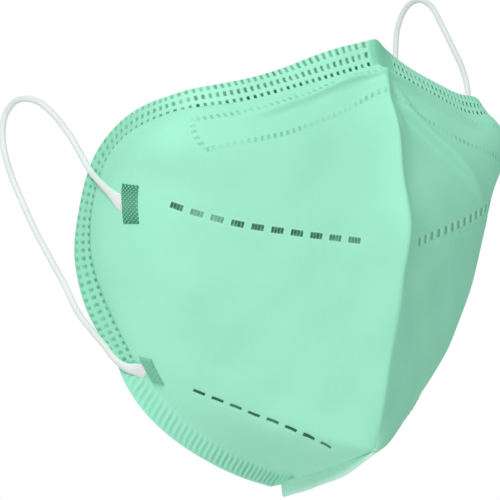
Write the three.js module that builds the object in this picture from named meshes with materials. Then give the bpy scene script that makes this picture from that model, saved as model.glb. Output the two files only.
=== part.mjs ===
// A fold-flat face mask, opened as it is worn.
// Millimetres. -Y is forward, away from the face, +Z is up and +X is the wearer's left.
// The origin is where the top edge sits on the bridge of the nose.
import * as THREE from 'three';

// Shell
const halfWidth = 75;        // centre plane to the cheek
const faceDepth = 64;        // foremost point of the fold to the ear edge
const shellHeight = 132;     // chin crease to the border under the nose edge
const shellWall = 1.4;
const shellRows = 36;        // steps from chin to nose
const shellColumns = 11;     // steps from the fold to the border

// Pressed edge round the face opening
const edgeWidth = 6.8;
const edgeThickness = 1.0;
const edgeSteps = 44;
const hemWidth = 6.4;
const hemThickness = 1.0;
const ribPitch = 2.3;
const ribHeight = 0.35;
const hemTop = 0.42;         // share of the way round from chin to nose where the hem ends

// Chin seam
const seamThickness = 1.6;
const seamDrop = 5.0;
const seamSteps = 16;

// Nose wire casing
const casingThickness = 0.9;
const casingSteps = 12;
const casingFilm = 5;        // steps across the strip
const wireRise = 0.7;        // how far the wire lifts the strip along its middle

// Welds over the ends of the ear loops
const patchThickness = 0.8;
const patchSteps = 3;

// Ear loops
const loopDiameter = 2.0;
const loopSides = 8;
const loopSteps = 48;

// Gaps
const layerGap = 0.3;        // between pieces that lie on or beside each other
const seamGap = 0.5;         // between the shell's crease and the chin seam

// Sections of one half, from chin to nose. front is on the fold, rim on the border of the pressed edge,
// and the two pulls shape the curve between them. The columns are shares: out of halfWidth,
// back of faceDepth and rise of shellHeight.
const sections = [
  { front: [0.84, 0.000], nosePull: [0.00, 0.84, 0.000], cheekPull: [0.00, 0.84, 0.000], rim: [0.00, 0.84, 0.000] },
  { front: [0.53, 0.044], nosePull: [0.09, 0.57, 0.060], cheekPull: [0.20, 0.69, 0.067], rim: [0.25, 0.78, 0.040] },
  { front: [0.24, 0.082], nosePull: [0.23, 0.35, 0.127], cheekPull: [0.45, 0.60, 0.172], rim: [0.51, 0.77, 0.107] },
  { front: [0.18, 0.213], nosePull: [0.35, 0.38, 0.225], cheekPull: [0.68, 0.60, 0.271], rim: [0.73, 0.80, 0.203] },
  { front: [0.12, 0.346], nosePull: [0.48, 0.38, 0.354], cheekPull: [0.88, 0.61, 0.392], rim: [0.89, 0.87, 0.331] },
  { front: [0.06, 0.475], nosePull: [0.64, 0.38, 0.490], cheekPull: [1.03, 0.50, 0.528], rim: [1.00, 0.99, 0.550] },
  { front: [0.00, 0.607], nosePull: [0.72, 0.35, 0.633], cheekPull: [1.12, 0.44, 0.679], rim: [0.97, 0.91, 0.758] },
  { front: [0.05, 0.739], nosePull: [0.61, 0.27, 0.732], cheekPull: [1.05, 0.33, 0.762], rim: [0.89, 0.52, 0.864] },
  { front: [0.09, 0.868], nosePull: [0.27, 0.17, 0.837], cheekPull: [0.59, 0.24, 0.822], rim: [0.57, 0.34, 0.906] },
  { front: [0.21, 1.000], nosePull: [0.00, 0.21, 1.000], cheekPull: [0.00, 0.21, 1.000], rim: [0.00, 0.21, 1.000] },
];
const foldBottomRow = 2;     // here the chin seam ends and the fold begins

// The casing's two edges from the fold to its end on the cheek, as shares across and round the shell
const casingRows = [
  { upper: [0.00, 0.990], lower: [0.00, 0.940] },
  { upper: [0.81, 0.978], lower: [0.20, 0.936] },
  { upper: [0.90, 0.935], lower: [0.44, 0.898] },
  { upper: [0.92, 0.895], lower: [0.52, 0.855] },
  { upper: [0.92, 0.845], lower: [0.58, 0.805] },
  { upper: [0.91, 0.803], lower: [0.61, 0.777] },
];

// The corners of each weld, as shares across and round the shell
const upperWeldCorners = [[0.833, 0.657], [0.753, 0.665], [0.807, 0.603], [0.733, 0.609]];
const lowerWeldCorners = [[0.955, 0.425], [0.889, 0.412], [0.985, 0.375], [0.930, 0.360]];

// The chin seam's depth from its back end to the fold, as shares of seamDrop
const seamProfile = [0.95, 1.0, 1.0, 0.95, 0.8, 0.5, 0.15];

// The middle lines of the ear loops, from the upper weld to the lower weld
const rightLoopRoute = [
  [-77.1, 31.9, -49.6], [-77.1, 36.3, -46.9], [-75.9, 42, -43.4], [-74.1, 48, -40.7],
  [-73.9, 52, -37], [-75.5, 57, -29.5], [-78, 62.5, -22.5], [-80, 69, -18],
  [-81.5, 77.5, -17.5], [-82, 83.5, -22], [-82, 85, -29], [-81.5, 82, -39],
  [-80.5, 76.5, -49], [-79.5, 70, -59], [-78.5, 64, -67], [-77, 58.5, -75],
  [-75.5, 53, -85], [-73, 49.5, -92], [-70, 46.8, -98], [-67.7, 44.2, -101.4],
  [-66.3, 41, -102.4], [-64.3, 37.3, -102.9],
];
const leftLoopRoute = [
  [77.1, 31.9, -49.6], [77.5, 34.2, -45], [77.2, 36, -38], [76.8, 36.8, -30],
  [76.9, 35.6, -20], [77.5, 35.5, -10], [78.5, 39, -2], [79.5, 44.5, 5.5],
  [80.5, 51, 14], [81.5, 58, 22], [82, 64.5, 24.5], [82, 70.5, 22.5],
  [82, 75, 16], [81.7, 76, 7], [81, 75, -8], [79.5, 70, -35],
  [77, 61.5, -65], [73.5, 53, -88], [70, 46.8, -98], [67.7, 44.2, -101.4],
  [66.3, 41, -102.4], [64.3, 37.3, -102.9],
];

const point = (x, y, z) => new THREE.Vector3(x, y, z);
const mix = (a, b, share) => a + (b - a) * share;

// A smooth curve through one column of the sections, from row to row
function columnCurve(name, from = 0, to = sections.length - 1) {
  const points = sections.slice(from, to + 1).map((row) => {
    const [out, back, rise] = name === 'front' ? [0, ...row.front] : row[name];
    return point(out * halfWidth, back * faceDepth, rise * shellHeight);
  });
  return new THREE.CatmullRomCurve3(points, false, 'catmullrom', 0.5);
}
const seamCurve = columnCurve('front', 0, foldBottomRow);
const foldCurve = columnCurve('front', foldBottomRow);
const nosePullCurve = columnCurve('nosePull');
const cheekPullCurve = columnCurve('cheekPull');
const rimCurve = columnCurve('rim');
const seamShare = foldBottomRow / (sections.length - 1);

function frontPoint(v) {
  if (v <= seamShare) return seamCurve.getPoint(v / seamShare);
  return foldCurve.getPoint((v - seamShare) / (1 - seamShare));
}

// The outer face of the left half before it is moved to the origin.
// u runs from the fold to the border, and v from the chin to the nose.
function rawSurface(u, v) {
  const section = new THREE.CubicBezierCurve3(
    frontPoint(v), nosePullCurve.getPoint(v), cheekPullCurve.getPoint(v), rimCurve.getPoint(v));
  return section.getPoint(u);
}

// The border's own directions: outward across the pressed edge, and normal to it.
const slopeStep = 0.001;
const poleShare = 0.004;     // nearer to the centre plane than this, the edge lies square to that plane
function borderFrame(v) {
  const border = rawSurface(1, v);
  let outward;
  let along;
  if (v < poleShare || v > 1 - poleShare) {
    const [inner, end] = v < 0.5 ? [slopeStep, 0] : [1 - slopeStep, 1];
    outward = frontPoint(end).sub(frontPoint(inner)).normalize();
    along = point(v < 0.5 ? 1 : -1, 0, 0);
  } else {
    along = rawSurface(1, v + slopeStep).sub(rawSurface(1, v - slopeStep)).normalize();
    const across = rawSurface(1, v).sub(rawSurface(1 - slopeStep, v));
    outward = across.addScaledVector(along, -across.dot(along)).normalize();
  }
  return { border, outward, normal: outward.clone().cross(along).normalize() };
}

// The border as the shell has it, straight from row to row, so that what lies along it keeps its gap
const borderRows = Array.from({ length: shellRows + 1 }, (_, row) => borderFrame(row / shellRows));
function facetedFrame(v) {
  const row = Math.min(Math.floor(v * shellRows), shellRows - 1);
  const share = v * shellRows - row;
  const [a, b] = [borderRows[row], borderRows[row + 1]];
  return {
    border: a.border.clone().lerp(b.border, share),
    outward: a.outward.clone().lerp(b.outward, share).normalize(),
    normal: a.normal.clone().lerp(b.normal, share).normalize(),
  };
}

// The place of the origin: the outer corner of the pressed edge on the centre plane
const noseFrame = borderFrame(1);
const origin = noseFrame.border.clone().addScaledVector(noseFrame.outward, edgeWidth);

function surface(u, v) {
  return rawSurface(u, v).sub(origin);
}

function surfaceNormal(u, v) {
  const inU = THREE.MathUtils.clamp(u, slopeStep, 1 - slopeStep);
  const inV = THREE.MathUtils.clamp(v, poleShare, 1 - poleShare);
  const across = rawSurface(inU + slopeStep, inV).sub(rawSurface(inU - slopeStep, inV));
  const along = rawSurface(inU, inV + slopeStep).sub(rawSurface(inU, inV - slopeStep));
  return across.cross(along).normalize();
}

// A point that stands off the outer face by a height, inward where the height is negative
function standOff(u, v, height) {
  return surface(u, v).addScaledVector(surfaceNormal(u, v), height);
}

// One closed body between two grids of points, with walls round their edges.
// Rows that shrink to a point lose their empty triangles.
function bodyBetween(topGrid, bottomGrid) {
  const rows = topGrid.length;
  const columns = topGrid[0].length;
  const vertices = [];
  const numbers = new Map();
  const numberOf = (p) => {
    const key = [p.x, p.y, p.z].map((value) => Math.round(value * 1e4)).join(' ');
    if (!numbers.has(key)) {
      numbers.set(key, vertices.length / 3);
      vertices.push(p.x, p.y, p.z);
    }
    return numbers.get(key);
  };
  const top = topGrid.map((row) => row.map(numberOf));
  const bottom = bottomGrid.map((row) => row.map(numberOf));
  const triangles = [];
  const addTriangle = (a, b, c) => {
    if (a !== b && b !== c && c !== a) triangles.push(a, b, c);
  };
  const addQuad = (a, b, c, d) => {
    addTriangle(a, b, c);
    addTriangle(a, c, d);
  };
  for (let i = 0; i < rows - 1; i += 1) {
    for (let j = 0; j < columns - 1; j += 1) {
      addQuad(top[i][j], top[i][j + 1], top[i + 1][j + 1], top[i + 1][j]);
      addQuad(bottom[i][j], bottom[i + 1][j], bottom[i + 1][j + 1], bottom[i][j + 1]);
    }
    addQuad(top[i][0], top[i + 1][0], bottom[i + 1][0], bottom[i][0]);
    const last = columns - 1;
    addQuad(top[i][last], bottom[i][last], bottom[i + 1][last], top[i + 1][last]);
  }
  for (let j = 0; j < columns - 1; j += 1) {
    addQuad(top[0][j], bottom[0][j], bottom[0][j + 1], top[0][j + 1]);
    const last = rows - 1;
    addQuad(top[last][j], top[last][j + 1], bottom[last][j + 1], bottom[last][j]);
  }
  const geometry = new THREE.BufferGeometry();
  geometry.setAttribute('position', new THREE.Float32BufferAttribute(vertices, 3));
  geometry.setIndex(facingOut(vertices, triangles));
  geometry.computeVertexNormals();
  return geometry;
}

// The triangles turned so that the body's volume is positive
function facingOut(vertices, triangles) {
  const corner = (number) => point(...vertices.slice(number * 3, number * 3 + 3));
  let volume = 0;
  for (let i = 0; i < triangles.length; i += 3) {
    const [a, b, c] = triangles.slice(i, i + 3).map(corner);
    volume += a.dot(b.cross(c));
  }
  return volume > 0 ? triangles : triangles.toReversed();
}

const onSide = (side, grid) => grid.map((row) => row.map((p) => point(p.x * side, p.y, p.z)));

// The shell is one sheet: both halves meet in the fold
function shellGeometry() {
  const outer = [];
  const inner = [];
  for (let i = 0; i <= shellRows; i += 1) {
    const v = i / shellRows;
    const outerHalf = [];
    const innerHalf = [];
    for (let j = 0; j <= shellColumns; j += 1) {
      const u = j / shellColumns;
      const atPole = i === 0 || i === shellRows;
      outerHalf.push(surface(u, v));
      innerHalf.push(j === 0 || atPole ? innerFold(v) : standOff(u, v, -shellWall));
    }
    outer.push(bothSides(outerHalf));
    inner.push(bothSides(innerHalf));
  }
  return bodyBetween(outer, inner);
}

// The wall's inner corner behind the fold stays on the centre plane
function innerFold(v) {
  const normal = surfaceNormal(0, v);
  const inPlane = point(0, normal.y, normal.z);
  return surface(0, v).addScaledVector(inPlane, -shellWall / inPlane.lengthSq());
}

function bothSides(half) {
  const mirrored = half.slice(1).reverse().map((p) => point(-p.x, p.y, p.z));
  return [...mirrored, ...half];
}

// A strip of the pressed edge between two shares of the way round, with ribs across it if asked
function edgeGeometry(side, from, to, width, thickness, steps, rib) {
  const top = [];
  const bottom = [];
  for (let i = 0; i <= steps; i += 1) {
    const { border, outward, normal } = facetedFrame(mix(from, to, i / steps));
    const start = border.sub(origin);
    const raised = i % 2 === 1 ? rib : 0;
    const place = (across, height) => {
      const p = start.clone().addScaledVector(outward, across).addScaledVector(normal, height);
      p.x = Math.max(p.x, layerGap / 2);
      return p;
    };
    top.push([place(layerGap, raised), place(width, raised)]);
    bottom.push([place(layerGap, -thickness), place(width, -thickness)]);
  }
  return bodyBetween(onSide(side, top), onSide(side, bottom));
}

function borderLength(from, to) {
  const samples = 60;
  let length = 0;
  for (let i = 0; i < samples; i += 1) {
    const a = rawSurface(1, mix(from, to, i / samples));
    length += a.distanceTo(rawSurface(1, mix(from, to, (i + 1) / samples)));
  }
  return length;
}

function rimWeldGeometry(side) {
  const start = hemTop + layerGap / borderLength(0, 1);
  return edgeGeometry(side, start, 1, edgeWidth, edgeThickness, edgeSteps, 0);
}

function neckHemGeometry(side) {
  const ribSteps = 2 * Math.round(borderLength(0, hemTop) / ribPitch);
  return edgeGeometry(side, 0, hemTop, hemWidth, hemThickness, ribSteps, ribHeight);
}

// The two edges of the sheet stand out together below the crease of the chin
function chinSeamGeometry() {
  const profile = new THREE.CatmullRomCurve3(
    seamProfile.map((share, i) => point(i / (seamProfile.length - 1), share, 0)));
  const backEnd = borderFrame(0);
  const rows = [];
  for (let i = 0; i <= seamSteps; i += 1) {
    const share = i / seamSteps;
    const length = seamCurve.getLength() + hemWidth;
    const distance = share * length - hemWidth;
    const crease = distance < 0
      ? backEnd.border.clone().addScaledVector(backEnd.outward, -distance)
      : seamCurve.getPointAt(distance / seamCurve.getLength());
    const slope = distance < 0
      ? backEnd.outward.clone().negate()
      : seamCurve.getTangentAt(distance / seamCurve.getLength());
    const down = point(0, -slope.z, slope.y);
    const drop = Math.max(profile.getPoint(share).y * seamDrop, seamGap + layerGap);
    crease.sub(origin);
    rows.push([crease.clone().addScaledVector(down, seamGap), crease.clone().addScaledVector(down, drop)]);
  }
  const shifted = (x) => rows.map((row) => row.map((p) => point(x, p.y, p.z)));
  return bodyBetween(shifted(seamThickness / 2), shifted(-seamThickness / 2));
}

// The strip over the nose lies on the outer face and bends over the fold
function casingGeometry() {
  const edgeCurve = (name) => new THREE.CatmullRomCurve3(
    casingRows.map((row) => point(...row[name], 0)), false, 'catmullrom', 0.5);
  const upper = edgeCurve('upper');
  const lower = edgeCurve('lower');
  const half = (height, lift) => {
    const grid = [];
    for (let i = 0; i <= casingSteps; i += 1) {
      const a = upper.getPoint(i / casingSteps);
      const b = lower.getPoint(i / casingSteps);
      const row = [];
      for (let j = 0; j <= casingFilm; j += 1) {
        const share = j / casingFilm;
        const rise = height + lift * Math.sin(Math.PI * share);
        const p = standOff(mix(a.x, b.x, share), mix(a.y, b.y, share), rise);
        row.push(i === 0 ? aheadOfFold(mix(a.y, b.y, share), rise) : p);
      }
      grid.push(row);
    }
    const mirrored = grid.slice(1).reverse().map((row) => row.map((p) => point(-p.x, p.y, p.z)));
    return [...mirrored, ...grid];
  };
  return bodyBetween(half(layerGap + casingThickness, wireRise), half(layerGap, 0));
}

function aheadOfFold(v, height) {
  const normal = surfaceNormal(0, v);
  const inPlane = point(0, normal.y, normal.z);
  return surface(0, v).addScaledVector(inPlane, height / inPlane.lengthSq());
}

// A pressed weld on the outer face, between four corners
function weldGeometry(side, corners) {
  const [[u0, v0], [u1, v1], [u2, v2], [u3, v3]] = corners;
  const layer = (height) => {
    const grid = [];
    for (let i = 0; i <= patchSteps; i += 1) {
      const down = i / patchSteps;
      const row = [];
      for (let j = 0; j <= patchSteps; j += 1) {
        const across = j / patchSteps;
        const u = mix(mix(u0, u1, across), mix(u2, u3, across), down);
        const v = mix(mix(v0, v1, across), mix(v2, v3, across), down);
        row.push(standOff(u, v, height));
      }
      grid.push(row);
    }
    return onSide(side, grid);
  };
  return bodyBetween(layer(layerGap + patchThickness), layer(layerGap));
}

// A round cord along its route
function loopGeometry(route) {
  const curve = new THREE.CatmullRomCurve3(route.map((p) => point(...p)));
  const section = new THREE.Shape();
  for (let i = 0; i < loopSides; i += 1) {
    const angle = (i / loopSides) * 2 * Math.PI;
    const x = Math.cos(angle) * loopDiameter / 2;
    const y = Math.sin(angle) * loopDiameter / 2;
    if (i === 0) section.moveTo(x, y);
    else section.lineTo(x, y);
  }
  section.closePath();
  return new THREE.ExtrudeGeometry(section, { steps: loopSteps, extrudePath: curve, bevelEnabled: false });
}

function cloth(color) {
  return new THREE.MeshStandardMaterial({ color, roughness: 0.85, metalness: 0 });
}
const shellCloth = () => cloth(0xa3e6c9);
const pressedCloth = () => cloth(0x93d8b9);
const weldCloth = () => cloth(0x5fae8c);
const elastic = () => cloth(0xf1f1ef);

const mask = new THREE.Group();
function addPiece(name, geometry, material) {
  const piece = new THREE.Mesh(geometry, material);
  piece.name = name;
  mask.add(piece);
}

addPiece('shell', shellGeometry(), shellCloth());
addPiece('chin_seam', chinSeamGeometry(), pressedCloth());
addPiece('nose_wire_casing', casingGeometry(), shellCloth());
for (const [name, side] of [['right', -1], ['left', 1]]) {
  addPiece(`rim_weld_${name}`, rimWeldGeometry(side), pressedCloth());
  addPiece(`neck_hem_${name}`, neckHemGeometry(side), pressedCloth());
  addPiece(`weld_patch_upper_${name}`, weldGeometry(side, upperWeldCorners), weldCloth());
  addPiece(`weld_patch_lower_${name}`, weldGeometry(side, lowerWeldCorners), weldCloth());
}
addPiece('ear_loop_right', loopGeometry(rightLoopRoute), elastic());
addPiece('ear_loop_left', loopGeometry(leftLoopRoute), elastic());

export default mask;
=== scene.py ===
import math

import bmesh
import bpy
import numpy as np
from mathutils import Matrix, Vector


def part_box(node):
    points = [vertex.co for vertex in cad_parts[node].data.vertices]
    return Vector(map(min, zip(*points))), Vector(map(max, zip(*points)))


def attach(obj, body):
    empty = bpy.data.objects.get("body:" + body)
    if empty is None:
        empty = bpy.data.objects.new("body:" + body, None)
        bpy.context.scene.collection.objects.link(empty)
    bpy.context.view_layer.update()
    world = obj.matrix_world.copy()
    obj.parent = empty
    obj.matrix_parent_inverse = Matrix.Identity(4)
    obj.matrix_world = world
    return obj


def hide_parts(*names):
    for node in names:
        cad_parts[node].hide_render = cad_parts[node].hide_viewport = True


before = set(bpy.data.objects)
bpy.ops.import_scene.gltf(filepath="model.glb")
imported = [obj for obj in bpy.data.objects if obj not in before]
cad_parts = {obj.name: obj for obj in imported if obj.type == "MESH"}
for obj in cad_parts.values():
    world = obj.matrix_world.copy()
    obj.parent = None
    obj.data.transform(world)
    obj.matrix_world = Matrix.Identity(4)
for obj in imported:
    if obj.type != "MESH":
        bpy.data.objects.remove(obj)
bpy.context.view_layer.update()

mm = 0.001
print("frame loaded")

camera = {"azimuth": -40, "distance": 0.72, "target": (-0.0297, 0.0249, -0.0647), "viewWidth": 0.15625}


def makeCamera(place):
    data = bpy.data.cameras.new("camera")
    data.sensor_width = 36
    data.lens = 36 * place["distance"] / place["viewWidth"]
    data.clip_start = 0.01
    turn = math.radians(place["azimuth"])
    back = Vector((math.sin(turn), -math.cos(turn), 0))
    seen = bpy.data.objects.new("camera", data)
    seen.location = Vector(place["target"]) + back * place["distance"]
    seen.rotation_euler = (-back).to_track_quat("-Z", "Y").to_euler()
    bpy.context.scene.collection.objects.link(seen)
    bpy.context.scene.camera = seen


makeCamera(camera)

# Sections of one half from chin to nose, as shares of its width, depth and height
shell = {
    "front": [(0.84, 0.000), (0.53, 0.044), (0.24, 0.082), (0.18, 0.213), (0.12, 0.346),
              (0.06, 0.475), (0.00, 0.607), (0.05, 0.739), (0.09, 0.868), (0.21, 1.000)],
    "nosePull": [(0.00, 0.84, 0.000), (0.09, 0.57, 0.060), (0.23, 0.35, 0.127), (0.35, 0.38, 0.225),
                 (0.48, 0.38, 0.354), (0.64, 0.38, 0.490), (0.72, 0.35, 0.633), (0.61, 0.27, 0.732),
                 (0.27, 0.17, 0.837), (0.00, 0.21, 1.000)],
    "cheekPull": [(0.00, 0.84, 0.000), (0.20, 0.69, 0.067), (0.45, 0.60, 0.172), (0.68, 0.60, 0.271),
                  (0.88, 0.61, 0.392), (1.03, 0.50, 0.528), (1.12, 0.44, 0.679), (1.05, 0.33, 0.762),
                  (0.59, 0.24, 0.822), (0.00, 0.21, 1.000)],
    "rim": [(0.00, 0.84, 0.000), (0.25, 0.78, 0.040), (0.51, 0.77, 0.107), (0.73, 0.80, 0.203),
            (0.89, 0.87, 0.331), (1.00, 0.99, 0.550), (0.97, 0.91, 0.758), (0.89, 0.52, 0.864),
            (0.57, 0.34, 0.906), (0.00, 0.21, 1.000)],
    "foldBottomRow": 2,
    "rows": 200,
    "columns": 96,          # from the fold to the border
    "wall": 1.3 * mm,
    "hemTop": 0.42,         # share of the way from chin to nose where the ribbed hem ends
    # from chin to nose, millimetres that the cloth stands above its pressed edge, and within what reach
    "plump": [(0.0, 0.25), (0.38, 0.25), (0.46, 0.6), (0.93, 0.6), (0.965, 1.8), (1.0, 1.8)],
    "plumpReach": [(0.0, 2.4), (0.93, 2.4), (0.965, 1.2), (1.0, 1.2)],
    "waves": 0.15 * mm,                   # its slight unevenness
    "foldRadius": (0.6 * mm, 2.8 * mm),   # low on the fold, and over the nose
    "foldRounding": (0.70, 0.93),         # where the one goes over into the other
    "chinFullness": 3.4 * mm,             # how far the cloth bellies out beside the chin seam
    "cheekSag": 0.9 * mm,                 # how far it falls in at the widest part of the cheek
    "cheekCorner": {"right": (1.6 * mm, 0.73, 0.06), "left": (3.3 * mm, 0.81, 0.045)},   # swell by the ear
    # from chin to nose, millimetres that it falls in beside the fold, the most at nosePinchAway from it
    "nosePinch": [(0.45, 0.0), (0.60, 0.9), (0.72, 2.0), (0.85, 2.5), (1.0, 2.5)],
    "nosePinchAway": 11 * mm,
    "farFullness": (2.7 * mm, 0.40, 0.11),   # how far the left half swells low on the cheek, and where
    # the slanting step in the left half, in millimetres along X and Z but for its rise
    "step": {"from": -14.5, "slope": -0.66, "rise": 2.0 * mm, "below": 8.0, "above": 16.0, "round": 1.0},
}


def alongPoints(points, share):
    # a smooth line through points, evenly from one to the next
    points = np.asarray(points, float)
    last = len(points) - 1
    place = np.clip(share, 0, 1) * last
    index = np.minimum(place.astype(int), last - 1)
    w = (place - index)[..., None]
    line = np.vstack([2 * points[0] - points[1], points, 2 * points[-1] - points[-2]])
    a, b, c, d = (line[index + k] for k in range(4))
    return 0.5 * (2 * b + (c - a) * w + (2 * a - 5 * b + 4 * c - d) * w ** 2
                  + (3 * b - a - 3 * c + d) * w ** 3)


def frontShares(v):
    front = [(0, *row) for row in shell["front"]]
    turn = shell["foldBottomRow"]
    split = turn / (len(front) - 1)
    below = alongPoints(front[:turn + 1], v / split)
    above = alongPoints(front[turn:], (v - split) / (1 - split))
    return np.where((v <= split)[..., None], below, above)


def halfShares(u, v):
    u, v = np.broadcast_arrays(np.asarray(u, float), np.asarray(v, float))
    ends = [frontShares(v)] + [alongPoints(shell[name], v) for name in ("nosePull", "cheekPull", "rim")]
    u = u[..., None]
    weights = ((1 - u) ** 3, 3 * u * (1 - u) ** 2, 3 * u ** 2 * (1 - u), u ** 3)
    return sum(weight * end for weight, end in zip(weights, ends))


# The shell's real size comes from its solid
cadLow, cadHigh = (np.array(corner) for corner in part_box("shell"))
cadShares = halfShares(np.linspace(0, 1, 12)[None, :], np.linspace(0, 1, 37)[:, None]).reshape(-1, 3)
shareLow, shareHigh = cadShares.min(axis=0), cadShares.max(axis=0)
shareLow[0] = -shareHigh[0]
size = (cadHigh - cadLow) / (shareHigh - shareLow)
shift = cadLow - shareLow * size


def bareHalf(u, v):
    return halfShares(u, v) * size + shift * (0, 1, 1)


def unit(vectors):
    return vectors / np.maximum(np.linalg.norm(vectors, axis=-1, keepdims=True), 1e-12)


def smooth(value, low, high):
    share = np.clip((value - low) / (high - low), 0, 1)
    return share * share * (3 - 2 * share)


def halfNormal(u, v):
    u, v, step = np.clip(u, 0.001, 0.999), np.clip(v, 0.005, 0.995), 0.001
    across = bareHalf(u + step, v) - bareHalf(u - step, v)
    return unit(np.cross(across, bareHalf(u, v + step) - bareHalf(u, v - step)))


def lengthsAlong(points, axis=0):
    steps = np.linalg.norm(np.diff(points, axis=axis), axis=-1)
    return np.insert(np.cumsum(steps, axis=axis), 0, 0, axis=axis)


# The border of the face opening, from chin to nose, with its directions
borderShares = np.linspace(0, 1, 601)
borderLine = bareHalf(1.0, borderShares)
borderRun = lengthsAlong(borderLine)
inner = np.clip(borderShares, 0.004, 0.996)
borderAlong = unit(bareHalf(1.0, inner + 0.001) - bareHalf(1.0, inner - 0.001))
borderOut = bareHalf(1.0, inner) - bareHalf(0.999, inner)
borderOut = unit(borderOut - borderAlong * (borderOut * borderAlong).sum(axis=-1, keepdims=True))
for end, way in ((0, 1), (-1, -1)):
    near = 2 if way > 0 else 598
    tip = frontShares(borderShares[[end, near]]) * size
    borderOut[end] = unit(tip[0] - tip[1])
    borderAlong[end] = (way, 0, 0)
blendIn = smooth(borderRun, 0, 6 * mm)[:, None]
blendEnd = smooth(borderRun[-1] - borderRun, 0, 6 * mm)[:, None]
borderOut = unit(borderOut * blendIn * blendEnd + borderOut[0] * (1 - blendIn)
                 + borderOut[-1] * (1 - blendEnd))
borderUp = unit(np.cross(borderOut, borderAlong))


def tableAt(table, share):
    share = np.asarray(share, float)
    return np.stack([np.interp(share, borderShares, table[:, k]) for k in range(3)], axis=-1)


# How steeply a half leaves the fold, and which way is inward there
foldShares = np.linspace(0.012, 0.988, 200)
foldPoint = bareHalf(0.0, foldShares)
foldUp = unit(np.gradient(foldPoint, axis=0))
foldIn = np.stack([0 * foldShares, foldUp[:, 2], -foldUp[:, 1]], axis=-1)
leaving = bareHalf(0.03, foldShares) - foldPoint
foldSlope = (leaving * foldIn).sum(axis=-1) / np.maximum(leaving[:, 0], 1e-6)


def softenFold(points, v):
    # rounds the crease on the centre plane
    low, high = shell["foldRadius"]
    radius = low + (high - low) * smooth(v, *shell["foldRounding"])
    away = np.abs(points[..., 0])
    depth = np.clip(np.interp(v, foldShares, foldSlope), 0, 2.5)
    fall = depth * (np.sqrt(away ** 2 + radius ** 2) - away) * (1 - smooth(away, 4 * mm, 16 * mm))
    inward = np.stack([np.interp(v, foldShares, foldIn[:, k]) for k in range(3)], axis=-1)
    return points + inward * fall[..., None]


# Rows of pressed marks: (share across, share up) of points on the row, from the fold outward
markRows = {
    "upperMarks": {
        "line": [(0.00, 0.632), (0.105, 0.635), (0.238, 0.639), (0.396, 0.642), (0.584, 0.650), (1.0, 0.668)],
        "first": 0.584, "last": 0.105, "count": 10, "width": 1.5 * mm, "depth": 0.30 * mm, "side": "right",
        "strength": [1.0, 0.65, 0.6, 1.0, 1.0, 1.0, 1.0, 1.0, 0.85, 0.8]},
    "farMarks": {   # colour and bump alone, so with no width or depth
        "line": [(0.00, 0.628), (0.061, 0.635), (0.199, 0.652), (0.363, 0.665), (0.6, 0.680), (1.0, 0.70)],
        "first": 0.58, "last": 0.066, "count": 14, "side": "left", "strength": [0.5] * 14},
    "lowerMarks": {
        "line": [(0.00, 0.168), (0.272, 0.209), (0.440, 0.231), (0.610, 0.260), (0.787, 0.326), (1.0, 0.42)],
        "first": 0.787, "last": 0.272, "count": 8, "width": 1.2 * mm, "depth": 0.30 * mm, "side": "both",
        "strength": [1.0, 1.0, 0.9, 1.0, 0.9, 1.0, 1.0, 0.85]},
}


def placeOnRow(row, u, v):
    # marks from the first, distance beside the row, the press's strength, and the row's pitch
    across = np.linspace(0, 1, 400)
    up = np.interp(across, *zip(*row["line"]))
    line = bareHalf(across, up)
    run = lengthsAlong(line)
    upward = (bareHalf(across, up + 0.002) - bareHalf(across, up - 0.002)) / 0.004
    onward = unit(np.gradient(line, axis=0))
    lift = np.linalg.norm(np.cross(upward, onward), axis=-1)
    lean = (upward * onward).sum(axis=-1)
    first, last = np.interp([row["first"], row["last"]], across, run)
    pitch = (first - last) / (row["count"] - 1)
    off = v - np.interp(u, across, up)
    number = (first - np.interp(u, across, run) - off * np.interp(u, across, lean)) / pitch
    beside = off * np.interp(u, across, lift)
    strength = np.interp(number, np.arange(row["count"]), row["strength"])
    return number, beside, strength, pitch


def awayFromBorder(u, v):
    # metres over the cloth to the border of the face opening
    return (1 - u) * np.linalg.norm(bareHalf(1.0, v) - bareHalf(0.97, v), axis=-1) / 0.03


def awayFromFold(u, v):
    return u * np.linalg.norm(bareHalf(0.04, v) - bareHalf(0.0, v), axis=-1) / 0.04


def clothForm(u, v, side):
    # the large soft forms of a half, which both its faces follow
    place = bareHalf(u, v)
    share = np.abs(place[..., 0]) / shell["nosePinchAway"]
    form = (-np.interp(v, *zip(*shell["nosePinch"])) * mm * share * np.exp(1 - share)
            * smooth(awayFromBorder(u, v), -4 * mm, 8 * mm))
    form = form + (shell["chinFullness"] * smooth(v, 0, 0.03) * (1 - smooth(v, 0.12, 0.29))
                   * (1 - np.exp(-awayFromFold(u, v) / (2.2 * mm))) * (1 - smooth(u, 0.40, 0.85)))
    form = form - shell["cheekSag"] * np.exp(-((v - 0.72) / 0.09) ** 2 - ((u - 0.62) / 0.22) ** 2)
    swell, middle, spread = shell["cheekCorner"][side]
    form = form + swell * np.exp(-((v - middle) / spread) ** 2 - ((u - 1.0) / 0.25) ** 2)
    if side == "left":
        step = shell["step"]
        across, up = place[..., 0] / mm, place[..., 2] / mm
        off = (up - step["from"] - step["slope"] * across) / math.hypot(1, step["slope"])
        reach = np.where(off < 0, step["below"], step["above"])
        rise = np.tanh(off / step["round"]) * np.exp(-np.abs(off) / reach)
        form = form + (step["rise"] * rise * smooth(across, 4, 12) * (1 - smooth(u, 0.26, 0.46))
                       * smooth(v, 0.5, 0.6))
        swell, middle, spread = shell["farFullness"]
        form = form + swell * np.exp(-((v - middle) / spread) ** 2 - ((u - 0.5) / 0.25) ** 2)
    return form


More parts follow.
